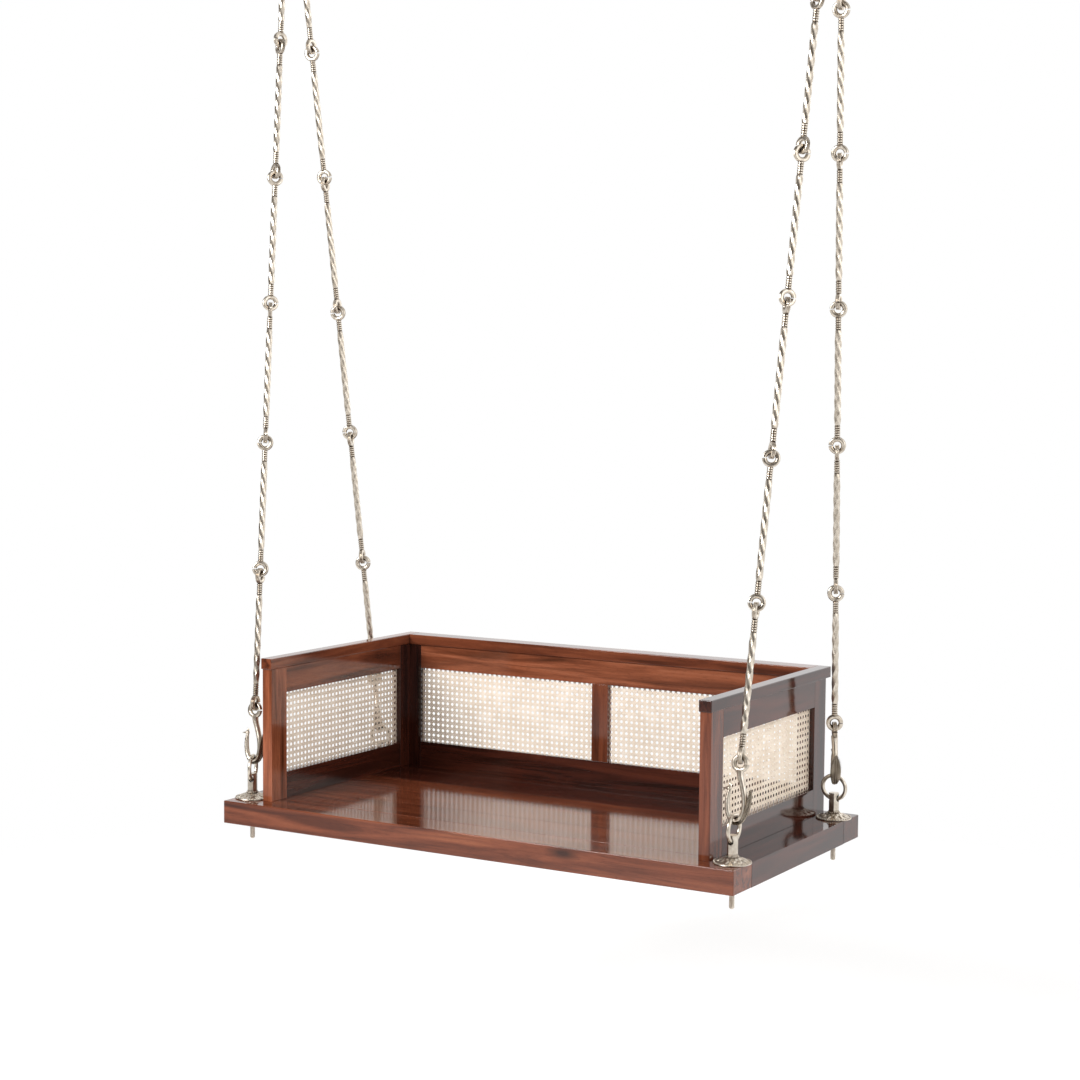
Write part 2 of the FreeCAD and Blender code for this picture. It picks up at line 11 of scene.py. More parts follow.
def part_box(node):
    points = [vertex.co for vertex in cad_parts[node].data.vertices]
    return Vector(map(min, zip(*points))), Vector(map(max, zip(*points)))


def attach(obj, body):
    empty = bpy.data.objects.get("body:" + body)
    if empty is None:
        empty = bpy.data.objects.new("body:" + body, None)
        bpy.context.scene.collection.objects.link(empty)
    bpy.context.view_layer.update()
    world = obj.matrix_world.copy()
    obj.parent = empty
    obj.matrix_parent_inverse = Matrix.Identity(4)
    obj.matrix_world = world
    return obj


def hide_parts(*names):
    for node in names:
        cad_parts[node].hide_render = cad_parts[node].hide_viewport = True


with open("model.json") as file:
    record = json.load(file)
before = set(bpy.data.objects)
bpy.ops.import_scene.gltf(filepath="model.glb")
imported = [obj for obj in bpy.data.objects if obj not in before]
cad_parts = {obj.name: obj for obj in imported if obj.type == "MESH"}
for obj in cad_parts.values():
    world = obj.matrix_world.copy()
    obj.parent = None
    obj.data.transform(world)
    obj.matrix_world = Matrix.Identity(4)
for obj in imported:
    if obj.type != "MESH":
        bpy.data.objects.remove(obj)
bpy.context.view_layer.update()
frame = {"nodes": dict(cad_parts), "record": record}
mm = 0.001
corners = {"front_left": (-1, -1), "front_right": (1, -1), "back_left": (-1, 1), "back_right": (1, 1)}
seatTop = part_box("seat_front_rail")[1].z
print("frame loaded:", len(frame["nodes"]), "nodes")

cameraView = {
    "place": (2.299, -3.871, -1.203),
    "yaw": -30.70,  # degrees from +Y, towards -X
    "pitch": -4.59,
    "roll": 0.43,
    "lens": 72.15,  # millimetres, and so is the sensor's width
    "sensor": 36,
}


def makeCamera():
    data = bpy.data.cameras.new("studioCamera")
    data.sensor_width, data.lens = cameraView["sensor"], cameraView["lens"]
    camera = bpy.data.objects.new("studioCamera", data)
    bpy.context.scene.collection.objects.link(camera)
    yaw, pitch, roll = (math.radians(cameraView[name]) for name in ("yaw", "pitch", "roll"))
    look = Vector((math.sin(yaw) * math.cos(pitch), math.cos(yaw) * math.cos(pitch), math.sin(pitch)))
    right = Vector((math.cos(yaw), -math.sin(yaw), 0))
    up = right.cross(look)
    rolledRight = right * math.cos(roll) + up * math.sin(roll)
    rolledUp = up * math.cos(roll) - right * math.sin(roll)
    turn = Matrix((rolledRight, rolledUp, -look)).transposed().to_4x4()
    camera.matrix_world = Matrix.Translation(cameraView["place"]) @ turn
    bpy.context.scene.camera = camera


makeCamera()
print("camera placed")


def hexColour(text):
    # sRGB hex to the linear colour that the shaders use
    parts = [int(text[i:i + 2], 16) / 255 for i in (1, 3, 5)]
    return [c / 12.92 if c <= 0.04045 else ((c + 0.055) / 1.055) ** 2.4 for c in parts] + [1]


def addNode(tree, kind, inputs=None, stops=None, **settings):
    node = tree.nodes.new("ShaderNode" + kind)
    for name, value in settings.items():
        setattr(node, name, value)
    for name, value in (inputs or {}).items():
        if isinstance(value, bpy.types.NodeSocket):
            tree.links.new(value, node.inputs[name])
        else:
            node.inputs[name].default_value = value
    if stops:
        ramp = node.color_ramp
        while len(ramp.elements) < len(stops):
            ramp.elements.new(0.5)
        for element, (place, colour) in zip(ramp.elements, stops):
            element.position, element.color = place, hexColour(colour)
    return node


def newMaterial(name):
    material = bpy.data.materials.new(name)
    material.use_nodes = True
    tree = material.node_tree
    tree.nodes.clear()
    return material, tree, addNode(tree, "TexCoord").outputs["Object"]


def surface(tree, inputs):
    shader = addNode(tree, "BsdfPrincipled", inputs)
    output = addNode(tree, "OutputMaterial")
    tree.links.new(shader.outputs[0], output.inputs["Surface"])


grain = {
    "figureWide": 24 * mm,  # one band of colour across the grain, and along it
    "figureLong": 300 * mm,
    "streakWide": 9 * mm,  # dark heartwood streaks
    "streakLong": 380 * mm,
    "poreWide": 0.9 * mm,  # real pores are 0.2 mm wide, drawn coarser so that they show
    "poreLong": 14 * mm,
    "poreDepth": 0.05 * mm,
}
woodTones = {  # four colours of the figure from dark to light, and the streaks
    "dark": ("#220f0a", "#351811", "#452016", "#53281b", "#170a07"),
    "middle": ("#3a1b11", "#592c1b", "#703b26", "#814930", "#26110a"),
    "warm": ("#4b2513", "#733e28", "#8c4f35", "#9e6045", "#30160b"),
}
knots = {"seat_front_rail": {"middle": (0.235, -0.300, seatTop - 0.012), "radius": 16 * mm}}


def rosewood(name, along, tone, seed):
    # sheesham under clear lacquer: deep red-brown bands, near-black streaks, and the lacquer's sharp gloss
    material, tree, place = newMaterial(name)
    turn = {"x": (0, 0, 0), "y": (0, 0, -math.pi / 2), "z": (0, math.pi / 2, 0)}[along]
    pick = random.Random(seed)
    shift = [pick.uniform(-3, 3) for axis in range(3)]  # metres, so that no two boards share a figure
    board = addNode(tree, "Mapping", {"Vector": place, "Rotation": turn, "Location": shift}).outputs[0]

    def stretched(wide, long):
        return addNode(tree, "Mapping", {"Vector": board, "Scale": (1 / long, 1 / wide, 1 / wide)}).outputs[0]

    figure = addNode(tree, "TexNoise", {"Vector": stretched(grain["figureWide"], grain["figureLong"]),
                                        "Scale": 1, "Detail": 5, "Roughness": 0.55, "Distortion": 0.6})
    streaks = addNode(tree, "TexNoise", {"Vector": stretched(grain["streakWide"], grain["streakLong"]),
                                         "Scale": 1, "Detail": 3, "Roughness": 0.5, "Distortion": 0.9})
    pores = addNode(tree, "TexNoise", {"Vector": stretched(grain["poreWide"], grain["poreLong"]),
                                       "Scale": 1, "Detail": 2})
    colours = woodTones[tone]
    bands = addNode(tree, "ValToRGB", {"Fac": figure.outputs["Fac"]},
                    stops=[(0.30, colours[0]), (0.44, colours[1]), (0.56, colours[2]), (0.70, colours[3])])
    amount = addNode(tree, "MapRange", {"Value": streaks.outputs["Fac"], "From Min": 0.56, "From Max": 0.74,
                                        "To Max": 0.45})
    streaked = addNode(tree, "Mix", {"Factor": amount.outputs[0], "A": bands.outputs["Color"],
                                     "B": hexColour(colours[4])}, data_type="RGBA")
    speck = addNode(tree, "MapRange", {"Value": pores.outputs["Fac"], "From Min": 0.56, "From Max": 0.70,
                                       "To Max": 0.35})
    colour = addNode(tree, "Mix", {"Factor": speck.outputs[0], "A": streaked.outputs["Result"],
                                   "B": hexColour(colours[4])}, data_type="RGBA").outputs["Result"]
    if name in knots:
        middle, radius = knots[name]["middle"], knots[name]["radius"]
        away = addNode(tree, "VectorMath", {0: place, 1: middle}, operation="SUBTRACT").outputs[0]
        oval = addNode(tree, "VectorMath", {0: away, 1: (0.35, 1, 1)}, operation="MULTIPLY").outputs[0]
        reach = addNode(tree, "VectorMath", {0: oval}, operation="LENGTH").outputs["Value"]
        dark = addNode(tree, "MapRange", {"Value": reach, "From Min": radius, "From Max": radius * 0.2,
                                          "To Max": 0.9}).outputs[0]
        colour = addNode(tree, "Mix", {"Factor": dark, "A": colour, "B": hexColour(colours[4])},
                         data_type="RGBA").outputs["Result"]
    rough = addNode(tree, "MapRange", {"Value": figure.outputs["Fac"], "To Min": 0.12, "To Max": 0.05})
    relief = addNode(tree, "Bump", {"Height": pores.outputs["Fac"], "Strength": 0.25,
                                    "Distance": grain["poreDepth"]})
    surface(tree, {"Base Color": colour, "Roughness": rough.outputs[0], "IOR": 1.5,
                   "Normal": relief.outputs[0]})
    return material


def rattanCane():
    # bleached rattan skin: cream strands, cloudy from place to place, finely fibrous and a little shiny
    material, tree, place = newMaterial("rattanCane")
    blotch = addNode(tree, "TexNoise", {"Vector": place, "Scale": 1 / (35 * mm), "Detail": 3})
    fibre = addNode(tree, "TexNoise", {"Vector": place, "Scale": 1 / (1.1 * mm), "Detail": 2})
    tint = addNode(tree, "Mix", {"Factor": 0.35, "A": blotch.outputs["Fac"], "B": fibre.outputs["Fac"]},
                   data_type="FLOAT")
    colour = addNode(tree, "ValToRGB", {"Fac": tint.outputs[0]},
                     stops=[(0.25, "#d8c6b1"), (0.45, "#e4d4c1"), (0.58, "#ecdecd"), (0.75, "#f4e9dc")])
    relief = addNode(tree, "Bump", {"Height": fibre.outputs["Fac"], "Strength": 0.4, "Distance": 0.1 * mm})
    surface(tree, {"Base Color": colour.outputs["Color"], "Roughness": 0.5, "IOR": 1.5,
                   "Normal": relief.outputs[0]})
    return material


def nickelPlate(name, dull, bright, tarnishAndShade):
    # nickel plate on cast brass, hand polished: warm silver on high spots; the hollows are darkened towards
    # brown, partly tarnish and partly painted shade
    material, tree, place = newMaterial(name)
    hollowShade = addNode(tree, "AmbientOcclusion", {"Distance": 5 * mm}, samples=8)
    cloud = addNode(tree, "TexNoise", {"Vector": place, "Scale": 1 / (9 * mm), "Detail": 4})
    hammer = addNode(tree, "TexNoise", {"Vector": place, "Scale": 1 / (6 * mm), "Detail": 1})
    # painted shade: the occlusion darkens hollows towards the brown colour, for real tarnish and for shade
    # alike
    outsideHollowShade = addNode(tree, "MapRange", {"Value": hollowShade.outputs["AO"], "From Min": 0.35, "From Max": 1.0})
    wear = addNode(tree, "MapRange", {"Value": cloud.outputs["Fac"], "From Min": 0.35, "From Max": 0.7})
    plated = addNode(tree, "Mix", {"Factor": wear.outputs[0], "A": hexColour(dull),
                                   "B": hexColour(bright)}, data_type="RGBA")
    colour = addNode(tree, "Mix", {"Factor": outsideHollowShade.outputs[0], "A": hexColour(tarnishAndShade),
                                   "B": plated.outputs["Result"]}, data_type="RGBA")
    rough = addNode(tree, "MapRange", {"Value": cloud.outputs["Fac"], "To Min": 0.24, "To Max": 0.36})
    relief = addNode(tree, "Bump", {"Height": hammer.outputs["Fac"], "Strength": 0.4, "Distance": 0.3 * mm})
    surface(tree, {"Base Color": colour.outputs["Result"], "Metallic": 1.0, "Roughness": rough.outputs[0],
                   "Normal": relief.outputs[0]})
    return material


def zincPlate():
    # bright zinc on steel screws: cool grey with a faint cloudy sheen
    material, tree, place = newMaterial("zincPlate")
    cloud = addNode(tree, "TexNoise", {"Vector": place, "Scale": 1 / (4 * mm), "Detail": 3})
    colour = addNode(tree, "ValToRGB", {"Fac": cloud.outputs["Fac"]},
                     stops=[(0.35, "#a8abad"), (0.65, "#c8cbcc")])
    surface(tree, {"Base Color": colour.outputs["Color"], "Metallic": 1.0, "Roughness": 0.35})
    return material


def beechDowel():
    # plain turned beech: pale pinkish tan with short brown flecks
    material, tree, place = newMaterial("beechDowel")
    fleck = addNode(tree, "TexNoise", {"Vector": place, "Scale": 1 / (1.5 * mm), "Detail": 3})
    colour = addNode(tree, "ValToRGB", {"Fac": fleck.outputs["Fac"]},
                     stops=[(0.35, "#b08a62"), (0.6, "#cfae86")])
    surface(tree, {"Base Color": colour.outputs["Color"], "Roughness": 0.6, "IOR": 1.5})
    return material


# the third colour of each is the brown of the hollows, partly tarnish and partly painted shade
nickel = nickelPlate("polishedNickel", "#b9ae9f", "#d6cdc0", "#564435")
chasedNickel = nickelPlate("chasedNickel", "#85796a", "#b0a494", "#33261b")
cane = rattanCane()
# these boards get lighter tones, and the rest are dark
warmPieces = ("left_front_post", "back_top_rail")
middlePieces = ("right_front_post", "seat_front_rail", "left_top_rail", "seat_plank_1", "seat_plank_2",
                "seat_plank_3", "back_middle_stile", "left_cap", "back_cap")


def grainOf(node):
    # boards are cut with the grain along their longest side
    low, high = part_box(node)
    lengths = list(high - low)
    return "xyz"[lengths.index(max(lengths))]


def dressFrame():
    others = {"zinc": zincPlate(), "dowel": beechDowel(), "nickel": nickel, "cane": cane}
    for seed, part in enumerate(frame["record"]["subparts"]):
        node, slot = part["node"], part["material_slot"]
        if slot == "rosewood":
            tone = "dark"
            if node.endswith(warmPieces):
                tone = "warm"
            elif node.endswith(middlePieces):
                tone = "middle"
            material = rosewood(node, grainOf(node), tone, seed)
        else:
            material = others[slot]
        mesh = frame["nodes"][node].data
        mesh.materials.clear()
        mesh.materials.append(material)


dressFrame()
print("frame nodes dressed")


def finishPiece(bm, name, material, body, smooth=40):
    # makes the mesh a piece of its body; edges that turn by more than smooth degrees stay crisp
    bmesh.ops.recalc_face_normals(bm, faces=bm.faces)
    for face in bm.faces:
        face.smooth = True
    for edge in bm.edges:
        edge.smooth = edge.is_manifold and edge.calc_face_angle(0) < math.radians(smooth)
    mesh = bpy.data.meshes.new(name)
    bm.to_mesh(mesh)
    bm.free()
    mesh.materials.append(material)
    piece = bpy.data.objects.new(name, mesh)
    bpy.context.scene.collection.objects.link(piece)
    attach(piece, body)
    return piece


def addCopy(bm, pattern, matrix):
    # puts a finished pattern mesh into bm at that matrix
    for vert in bm.verts:
        vert.tag = True
    bm.from_mesh(pattern)
    bmesh.ops.transform(bm, matrix=matrix, verts=[vert for vert in bm.verts if not vert.tag])


def asPattern(bm, name):
    bmesh.ops.recalc_face_normals(bm, faces=bm.faces)
    mesh = bpy.data.meshes.new(name)
    bm.to_mesh(mesh)
    bm.free()
    return mesh


def discOutline(count):
    angles = [2 * math.pi * number / count for number in range(count)]
    return [(math.cos(a), math.sin(a)) for a in angles]


def sweep(bm, outline, sections):
    # a bar: its outline at the first matrix, pushed on from each matrix to the next
    end = bm.faces.new([bm.verts.new(sections[0] @ Vector((x, y, 0))) for x, y in outline])
    for number, (here, there) in enumerate(zip(sections, sections[1:])):
        made = bmesh.ops.extrude_face_region(bm, geom=[end])["geom"]
        if number:  # the first face stays as the bar's end, and later ones would be left inside it
            bmesh.ops.delete(bm, geom=[end], context="FACES_ONLY")
        end = next(item for item in made if isinstance(item, bmesh.types.BMFace))
        bmesh.ops.transform(bm, matrix=there @ here.inverted(), verts=list(end.verts))


weldGap = 0.001  # millimetres between points that count as one
# how many sides each round shape has
sides = {"eye": 40, "neck": 16, "dome": 48, "bar": 14, "beak": 10, "vane": 12, "rib": 8}


def addSpun(bm, outline, axis, angle, steps, start=0.0, closed=False, matrix=None):
    # (across, along) points turned about an axis: "Z" for lathe work, "Y" for a ring in the XZ plane
    along = Vector((0, 0, 1)) if axis == "Z" else Vector((0, 1, 0))
    part = bmesh.new()
    verts = [part.verts.new(Vector((across, 0, 0)) + along * height) for across, height in outline]
    pairs = list(zip(verts, verts[1:])) + ([(verts[-1], verts[0])] if closed else [])
    edges = [part.edges.new(pair) for pair in pairs]
    bmesh.ops.rotate(part, cent=(0, 0, 0), matrix=Matrix.Rotation(start, 3, along), verts=verts)
    full = angle >= 2 * math.pi
    bmesh.ops.spin(part, geom=verts + edges, cent=(0, 0, 0), axis=along, angle=angle, steps=steps,
                   use_merge=full)
    bmesh.ops.remove_doubles(part, verts=part.verts, dist=weldGap)
    bmesh.ops.holes_fill(part, edges=[e for e in part.edges if e.is_boundary], sides=0)
    mesh = asPattern(part, "spun")
    addCopy(bm, mesh, matrix or Matrix())
    bpy.data.meshes.remove(mesh)


def bead(bm, spot, size, segments=8):
    # a small oval bead, with its half size in each direction
    bmesh.ops.create_uvsphere(bm, u_segments=segments, v_segments=segments // 2 + 1, radius=1,
                              matrix=spot @ Matrix.Diagonal((*size, 1)))


def makeLeaf():
    # one feather or petal, 1 long, 1 wide and 1 thick, blunt at its foot and pointed at its tip along +Z
    bm = bmesh.new()
    bmesh.ops.create_uvsphere(bm, u_segments=10, v_segments=7, radius=0.5)
    pointed = 0.75  # how much of its width the leaf has lost at its tip
    for vert in bm.verts:
        narrow = 1 - pointed * max(0, vert.co.z) * 2
        vert.co.x *= narrow
        vert.co.y *= narrow
    bmesh.ops.translate(bm, vec=(0, 0, 0.5), verts=bm.verts)
    return asPattern(bm, "leaf")


leaf = makeLeaf()


def addLeaf(bm, foot, outward, towards, size):
    # size is thickness, width and length; the leaf lies on a surface that faces outward
    z = Vector(towards).normalized()
    x = (Vector(outward) - z * z.dot(outward)).normalized()
    turn = Matrix((x, z.cross(x), z)).transposed().to_4x4()
    addCopy(bm, leaf, Matrix.Translation(foot) @ turn @ Matrix.Diagonal((*size, 1)))


hanging = {  # millimetres
    "eyeLevel": 40,  # hole of the eye bolt above the seat
    "hookY": 11,  # each top hook, from the middle of its ring
    "ringRadius": 25,
    "topRingBar": 5,
    "hookLength": 98,
    "backHookTurn": -60,  # degrees about the chain, from the seat's length
    "eyeStep": 15.3,  # from one eye's middle to the next one's
    "links": 6,
}


def chainLine(corner):
    # foot, direction and lengths of one chain, in metres and millimetres along it
    sideSign, depthSign = corners[corner]
    low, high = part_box(f"eye_bolt_{corner}")
    foot = Vector(((low.x + high.x) / 2, (low.y + high.y) / 2, seatTop + hanging["eyeLevel"] * mm))
    ringLow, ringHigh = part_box("top_ring_left" if sideSign < 0 else "top_ring_right")
    middle = (ringLow + ringHigh) / 2
    radius = (ringHigh.z - ringLow.z) / 2 - hanging["topRingBar"] * mm
    across = depthSign * hanging["hookY"] * mm
    head = Vector((middle.x, across, middle.z - math.sqrt(radius ** 2 - across ** 2)))
    length = (head - foot).length / mm
    count = hanging["links"]
    spare = length - 2 * hanging["ringRadius"] - 2 * hanging["hookLength"] - (count + 1) * hanging["eyeStep"]
    hookTurn = hanging["backHookTurn"] if depthSign > 0 else 0
    # from the lower hook to the upper one, each joint takes an equal turn of about 90 degrees
    halfTurns = math.floor((hookTurn + 90 * (count + 1)) / 180 + 0.5)
    return {"foot": foot, "up": (head - foot).normalized(), "length": length, "linkLength": spare / count,
            "hookTurn": hookTurn, "step": (180 * halfTurns - hookTurn) / (count + 1)}


def onChain(line, along, turn=0, flipped=False):
    # puts a piece drawn upright in millimetres at a point of the chain, turned about it
    z = -line["up"] if flipped else line["up"]
    x = (Vector((1, 0, 0)) - z * z.x).normalized()
    upright = Matrix((x, z.cross(x), z)).transposed().to_4x4()
    spot = Matrix.Translation(line["foot"] + line["up"] * along * mm)
    return spot @ upright @ Matrix.Rotation(math.radians(turn), 4, "Z") @ Matrix.Scale(mm, 4)


lines = {corner: chainLine(corner) for corner in corners}
print("chain lines found")

linkShape = {  # millimetres
    "eyeRadius": 12.3,  # to the bar's middle
    "eyeBar": 4.5,
    # (radius, across) points of the three ridges that run round the eye's rim
    "eyeRim": ((14.8, -4.5), (16.3, -4.1), (17.2, -2.9), (16.2, -1.45), (17.2, 0), (16.2, 1.45), (17.2, 2.9),
               (16.3, 4.1), (14.8, 4.5)),
    "slit": 2.0,  # the eye is bent shut, and a slit stays open on one side
    "neckStart": 14.5,  # from the eye's middle, inside its rim
    "beadStart": 16.6,
    "beads": 5,
    "beadPitch": 4.7,
    "beadHeights": (1.2, 3.3, 4.5),  # where one bead is full, starts to narrow and ends
    "neck": 4.7,
    "beadRadius": 6.2,
    "neckTip": (0.6, 1.5),  # heights of the blunt end that lies inside the rod
    "rodStart": 40.0,  # from the eye's middle
    "rodHalf": 6.0,  # half the square rod's width
    "rodCorner": ((1, 0.42), (0.83, 0.83), (0.42, 1)),  # one worn corner, in half widths
    "rodStep": 4.0,  # length between two outlines of the rod
    "rodEndWidth": 0.78,  # the rod's width at its ends, as a share
    "rodTaper": 25.0,  # length over which the rod would widen by a whole width
    "quarterTurn": 30.0,  # length over which the rod twists by 90 degrees
}


def addEye(bm, level):
    # a C-shaped eye: round inside, and three ridges running round its rim
    radius, bar = linkShape["eyeRadius"], linkShape["eyeBar"]
    inner = [(radius + bar * math.cos(a), bar * math.sin(a))
             for a in (math.radians(90 + 22.5 * n) for n in range(9))]
    gap = linkShape["slit"] / radius
    addSpun(bm, inner + list(linkShape["eyeRim"]), "Y", 2 * math.pi - gap, sides["eye"], start=gap / 2,
            closed=True, matrix=Matrix.Translation((0, 0, level)))


def addNeck(bm, matrix):
    # a neck with a row of beads, turned on a lathe
    neck, full = linkShape["neck"], linkShape["beadRadius"]
    outline, height = [(0, linkShape["neckStart"]), (full, linkShape["neckStart"])], linkShape["beadStart"]
    wide, narrowing, ended = linkShape["beadHeights"]
    for number in range(linkShape["beads"]):
        outline += [(neck, height), (full, height + wide), (full, height + narrowing), (neck, height + ended)]
        height += linkShape["beadPitch"]
    edge, tip = linkShape["neckTip"]
    outline += [(linkShape["rodHalf"], height + edge), (0, height + tip)]
    addSpun(bm, outline, "Z", 2 * math.pi, sides["neck"], matrix=matrix)


def addRod(bm, start, end):
    # a square rod with worn corners, twisted along its whole length
    outline = []
    for quarter in range(4):
        turn = Matrix.Rotation(quarter * math.pi / 2, 2)
        outline += [tuple(turn @ Vector(point) * linkShape["rodHalf"]) for point in linkShape["rodCorner"]]
    steps = round((end - start) / linkShape["rodStep"])
    sections = []
    for number in range(steps + 1):
        along = (end - start) * number / steps
        nearEnd = min(along, end - start - along)
        taper = min(1, linkShape["rodEndWidth"] + nearEnd / linkShape["rodTaper"])
        turn = math.radians(90) * along / linkShape["quarterTurn"]
        sections.append(Matrix.Translation((0, 0, start + along)) @ Matrix.Rotation(turn, 4, "Z")
                        @ Matrix.Diagonal((taper, taper, 1, 1)))
    sweep(bm, outline, sections)


def makeLink(length):
    bm = bmesh.new()
    addEye(bm, 0)
    addEye(bm, length)
    addNeck(bm, Matrix())
    addNeck(bm, Matrix.Translation((0, 0, length)) @ Matrix.Rotation(math.pi, 4, "X"))
    addRod(bm, linkShape["rodStart"], length - linkShape["rodStart"])
    return asPattern(bm, "link")


def makeChains():
    first = 2 * hanging["ringRadius"] + hanging["hookLength"] + hanging["eyeStep"]
    for corner, line in lines.items():
        link = makeLink(line["linkLength"])
        bm = bmesh.new()
        for number in range(hanging["links"]):
            along = first + number * (line["linkLength"] + hanging["eyeStep"])
            addCopy(bm, link, onChain(line, along, line["hookTurn"] + (number + 1) * line["step"]))
        side = corner.split("_")[1]
        piece = finishPiece(bm, f"twistedLinks_{corner}", nickel, f"{side}_chains")
        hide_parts(f"chain_links_{corner}")


makeChains()
print("chains made")

hookShape = {
    # (across, up, radius of the bar) in millimetres, from the bird's throat round the bend to the eye
    "bar": ((-17.0, 46, 3.2), (-18.4, 38, 4.0), (-18.9, 27, 4.7), (-18.0, 15, 5.1), (-15.2, 4.0, 5.3),
            (-9.7, -5.6, 5.3), (0, -9.4, 5.2), (9.7, -5.6, 5.4), (15.4, 4.5, 5.7), (17.3, 17, 5.9),
            (15.9, 33, 6.0), (11.6, 49, 5.9), (6.8, 63, 6.0), (3.0, 74, 6.5), (1.0, 86, 7.2)),
    "feather": (1.9, 4.6, 9.0),  # thickness, width and length of the neck's feathers
    "featherEvery": 3,  # rows of neck feathers stand this many path points apart, and begin as far in
    "featherLimit": -6,  # feathers grow only on the side of the hook where across is below this
    "featherAngles": (-65, 0, 65),  # degrees round the bar
    "featherSink": 0.72,  # a feather's foot, as a share of the bar's radius
    "featherLift": 0.18,
    # (across, up, half width) of the broad tail, from under the bend to its free tip beside the shank
    "plume": ((-9.5, -13.5, 2.5), (0, -15.5, 5.0), (12.0, -11.5, 8.0), (20.0, 1.5, 12.0), (23.4, 15, 13.8),
              (25.0, 28, 12.0), (25.9, 39, 8.5), (26.2, 50, 3.0)),
    "vane": (0.8, 1.0),  # the flat part's share of the tail's half width, and its own half thickness
    "barb": (3.4, 2.5, 1.2),  # thickness, width, and length as a share of the tail's half width
    "barbSlant": 0.9,  # how far the barbs point along the tail for each part sideways
    "barbDip": 0.08,
    "rib": (1.8, 1.3),  # height of the rib's middle above the tail's, and its radius
}
headShape = {  # millimetres
    "middle": (-18.2, 49),  # across and up, as on the hook
    "skull": (5.4, 4.3, 4.6),
    "beak": ((0, 2.7), (3, 2.0), (6.5, 1.1), (9.5, 0.3)),  # distance from its root, and half height
    "beakRoot": 4,
    "beakDroop": 0.3,
    "beakThin": 0.8,  # its thickness as a share of its height
    "crestAngles": (-30, 0, 30),
    "crestFoot": (1, 0, 3),
    "crestLean": 0.35,
    "crestFeather": (1.6, 3.0, 7.5),
    "eyeball": (1.1, 0.9, 1.1),
    "eyePlace": (-1.5, 3.8, 1.2),
}


def smoothBar(points, parts):
    # Catmull-Rom curve through (across, up, radius) points
    ends = [points[0], *points, points[-1]]
    path = []
    for a, b, c, d in zip(ends, ends[1:], ends[2:], ends[3:]):
        for number in range(parts):
            t = number / parts
            path.append([0.5 * (2 * q + (r - p) * t + (2 * p - 5 * q + 4 * r - s) * t ** 2
                                + (3 * q - p - 3 * r + s) * t ** 3) for p, q, r, s in zip(a, b, c, d)])
    path.append(list(points[-1]))
    return path


def addHead(bm):
    # the bird's head: a skull with a pointed beak, three crest feathers and two eyes
    across, up = headShape["middle"]
    middle = Vector((across, 0, up))
    bead(bm, Matrix.Translation(middle), headShape["skull"], 16)
    beak = []
    for step, half in headShape["beak"]:
        drop = headShape["beakDroop"] * math.sqrt(step)
        beak.append(Matrix.Translation(middle - Vector((headShape["beakRoot"] + step, 0, drop)))
                    @ Matrix.Rotation(-math.pi / 2, 4, "Y")
                    @ Matrix.Diagonal((half, half * headShape["beakThin"], 1, 1)))
    sweep(bm, discOutline(sides["beak"]), beak)
    for tilt in headShape["crestAngles"]:
        a = math.radians(tilt)
        towards = (math.sin(a) + headShape["crestLean"], 0, math.cos(a))
        addLeaf(bm, middle + Vector(headShape["crestFoot"]), (0, 1, 0), towards, headShape["crestFeather"])
    ahead, aside, above = headShape["eyePlace"]
    for side in (-1, 1):
        spot = Matrix.Translation(middle + Vector((ahead, side * aside, above)))
        bead(bm, spot, headShape["eyeball"])


def heading(path, number):
    # the direction of a path in the hook's plane at one of its points
    ahead, behind = path[min(number + 1, len(path) - 1)], path[max(number - 1, 0)]
    return Vector((ahead[0] - behind[0], 0, ahead[1] - behind[1])).normalized()


def barSections(path, flatness=None):
    # matrices along a path; each point's third value is the bar's radius, or half the width of a flat one
    sections = []
    for number, (across, up, half) in enumerate(path):
        along = heading(path, number)
        lean = math.atan2(along.x, along.z)
        sections.append(Matrix.Translation((across, 0, up)) @ Matrix.Rotation(lean, 4, "Y")
                        @ Matrix.Diagonal((flatness or half, half, 1, 1)))
    return sections


def addNeckFeathers(bm, path):
    # overlapping scales down the outer side of the bird's neck
    every = hookShape["featherEvery"]
    for number, (across, up, radius) in enumerate(path):
        if across > hookShape["featherLimit"] or number % every or number < every:
            continue
        along = heading(path, number)
        out = Vector((-along.z, 0, along.x))
        out = out if out.x < 0 else -out
        for angle in hookShape["featherAngles"]:
            around = Matrix.Rotation(math.radians(angle), 3, along) @ out
            foot = Vector((across, 0, up)) + around * radius * hookShape["featherSink"]
            addLeaf(bm, foot, around, along + around * hookShape["featherLift"], hookShape["feather"])


def addPlume(bm):
    # a broad tail feather that wraps the outside of the bend: a flat vane, slanting barbs and a raised rib
    path = smoothBar(hookShape["plume"], parts=3)
    vaneShare, vaneThick = hookShape["vane"]
    vane = [(across, up, half * vaneShare) for across, up, half in path]
    sweep(bm, discOutline(sides["vane"]), barSections(vane, vaneThick))
    rib = []
    ribHeight, ribRadius = hookShape["rib"]
    thick, wide, share = hookShape["barb"]
    for number, (across, up, half) in enumerate(path):
        along = heading(path, number)
        out = Vector((along.z, 0, -along.x))
        rib.append((across + out.x * ribHeight, up + out.z * ribHeight, ribRadius))
        for side in (-1, 1):
            towards = along * hookShape["barbSlant"] + Vector((0, side, 0)) - out * hookShape["barbDip"]
            addLeaf(bm, Vector((across, 0, up)) + out, out, towards, (thick, wide, half * share))
    sweep(bm, discOutline(sides["rib"]), barSections(rib))


def makeHook():
    # two patterns, because the feathers are chased and darker than the cast bar, eye and head
    bm = bmesh.new()
    path = smoothBar(hookShape["bar"], parts=4)
    sweep(bm, discOutline(sides["bar"]), barSections(path))
    addEye(bm, hanging["hookLength"])
    addHead(bm)
    feathers = bmesh.new()
    addNeckFeathers(feathers, path)
    addPlume(feathers)
    return asPattern(bm, "birdHook"), asPattern(feathers, "plumage")


